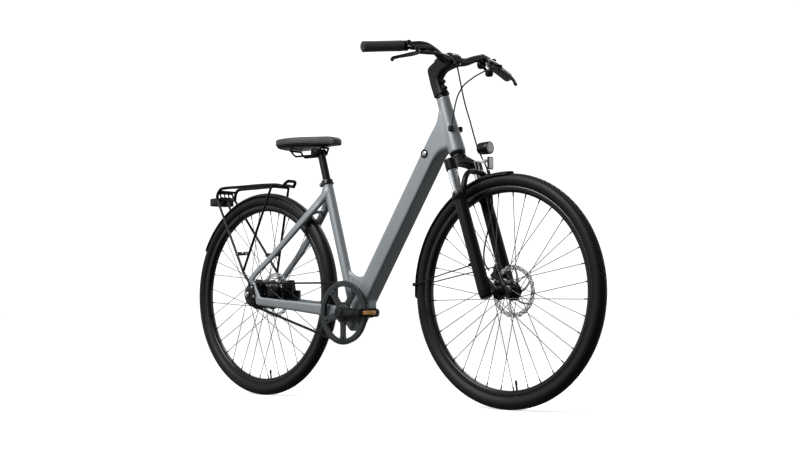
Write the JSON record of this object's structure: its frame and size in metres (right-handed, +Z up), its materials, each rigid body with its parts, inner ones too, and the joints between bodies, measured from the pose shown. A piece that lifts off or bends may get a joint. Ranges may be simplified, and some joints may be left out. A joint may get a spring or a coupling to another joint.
{
  "type": "electric city bike",
  "caption": "Step-through electric city bike with a belt drive, hub motor, suspension fork, disc brakes, mudguards, rear rack and lights.",
  "frame": {"origin": "on the ground, midway between the points where the two tyres stand", "axes": "+X forward, +Y to the rider's left, +Z up"},
  "size_m": [1.78, 0.7034, 1.1089],
  "materials": {
    "grey_paint": "satin metallic grey paint",
    "black_metal": "satin black coating",
    "black_plastic": "matte moulded black",
    "rubber": "matte black rubber",
    "tyre_rubber": "matte black tyre rubber",
    "bright_steel": "bright steel",
    "chrome": "polished chrome",
    "saddle_cover": "matte black synthetic cover",
    "clear_lens": "clear moulded lens",
    "red_lens": "red moulded lens",
    "battery_case": "matte black case"
  },
  "bodies": {
    "frame": {"down_tube": "grey_paint", "seat_tube": "grey_paint", "chain_stay_right": "grey_paint", "chain_stay_left": "grey_paint", "seat_stay_right": "grey_paint", "seat_stay_left": "grey_paint", "battery_pack": "battery_case", "battery_cover": "grey_paint", "cable_guide_right": "black_plastic", "cable_guide_left": "black_plastic", "headset_lower": "black_metal", "headset_upper": "black_metal", "bottom_bracket": "bright_steel", "rear_axle": "bright_steel", "rear_caliper": "black_metal", "rear_mudguard": "black_plastic", "rear_rack": "black_metal", "tail_light": "red_lens", "drive_belt": "rubber", "seat_clamp": "black_metal"},
    "battery_lock": {"battery_lock": "bright_steel"},
    "steering": {"fork_crown": "black_metal", "stanchion_right": "chrome", "stanchion_left": "chrome", "stem": "black_metal", "handlebar": "black_metal", "grip_right": "rubber", "grip_left": "rubber", "display": "black_plastic", "control_pad": "black_plastic", "brake_master_right": "black_metal", "brake_master_left": "black_metal", "front_brake_hose": "black_plastic", "rear_brake_hose": "black_plastic"},
    "lever_right": {"brake_lever_right": "black_metal"},
    "lever_left": {"brake_lever_left": "black_metal"},
    "fork_lowers": {"fork_lowers": "black_metal", "front_mudguard": "black_plastic", "front_caliper": "black_metal", "front_axle": "black_metal", "headlight": "black_plastic", "headlight_lens": "clear_lens", "headlight_bracket": "bright_steel"},
    "front_wheel": {"front_tyre": "tyre_rubber", "front_rim": "black_metal", "front_hub": "black_metal", "front_rotor": "bright_steel"},
    "rear_wheel": {"rear_tyre": "tyre_rubber", "rear_rim": "black_metal", "hub_motor": "black_metal", "rear_rotor": "bright_steel"},
    "rear_sprocket": {"rear_sprocket": "black_metal"},
    "cranks": {"crank_right": "black_metal", "crank_left": "black_metal", "chainring": "black_metal"},
    "pedal_right": {"pedal_right": "black_plastic"},
    "pedal_left": {"pedal_left": "black_plastic"},
    "seat": {"seatpost": "black_metal", "saddle": "saddle_cover", "saddle_rails": "black_metal"}
  },
  "joints": [
    {"name": "steering", "type": "hinge", "parent": "frame", "child": "steering", "pos_m": [0.49915, 0, 0.33774], "axis": [-0.3156, 0, 0.9489], "range_deg": [-60, 60], "deforming": ["rear_brake_hose"]},
    {"name": "fork_travel", "type": "slide", "parent": "steering", "child": "fork_lowers", "axis": [-0.3156, 0, 0.9489], "range_m": [0, 0.05], "stiffness_N_per_m": 7000, "springref_m": -0.025, "deforming": ["front_brake_hose"]},
    {"name": "front_wheel_spin", "type": "hinge", "parent": "fork_lowers", "child": "front_wheel", "pos_m": [0.539, 0, 0.351], "axis": [0, 1, 0], "continuous": true},
    {"name": "rear_wheel_spin", "type": "hinge", "parent": "frame", "child": "rear_wheel", "pos_m": [-0.539, 0, 0.351], "axis": [0, 1, 0], "continuous": true},
    {"name": "crank_spin", "type": "hinge", "parent": "frame", "child": "cranks", "pos_m": [-0.0915, 0, 0.2875], "axis": [0, 1, 0], "continuous": true},
    {"name": "sprocket_spin", "type": "hinge", "parent": "frame", "child": "rear_sprocket", "pos_m": [-0.539, 0, 0.351], "axis": [0, 1, 0], "continuous": true},
    {"name": "pedal_right_spin", "type": "hinge", "parent": "cranks", "child": "pedal_right", "pos_m": [0.0785, -0.142, 0.2875], "axis": [0, 1, 0], "continuous": true},
    {"name": "pedal_left_spin", "type": "hinge", "parent": "cranks", "child": "pedal_left", "pos_m": [-0.2615, 0.142, 0.2875], "axis": [0, 1, 0], "continuous": true},
    {"name": "lever_right", "type": "hinge", "parent": "steering", "child": "lever_right", "pos_m": [0.365, -0.2, 1.062], "axis": [0, 0, -1], "range_deg": [0, 22], "stiffness_Nm_per_rad": 1.2, "springref_deg": -8.59},
    {"name": "lever_left", "type": "hinge", "parent": "steering", "child": "lever_left", "pos_m": [0.365, 0.2, 1.062], "axis": [0, 0, 1], "range_deg": [0, 22], "stiffness_Nm_per_rad": 1.2, "springref_deg": -8.59},
    {"name": "seatpost_height", "type": "slide", "parent": "frame", "child": "seat", "axis": [-0.2874, 0, 0.9578], "range_m": [-0.06, 0.1]},
    {"name": "battery_lock", "type": "hinge", "parent": "frame", "child": "battery_lock", "pos_m": [0.2412, 0, 0.7836], "axis": [0, 1, 0], "range_deg": [0, 90]}
  ],
  "couplings": [
    {"joint": "sprocket_spin", "follows": "crank_spin", "ratio": 2.6364}
  ]
}
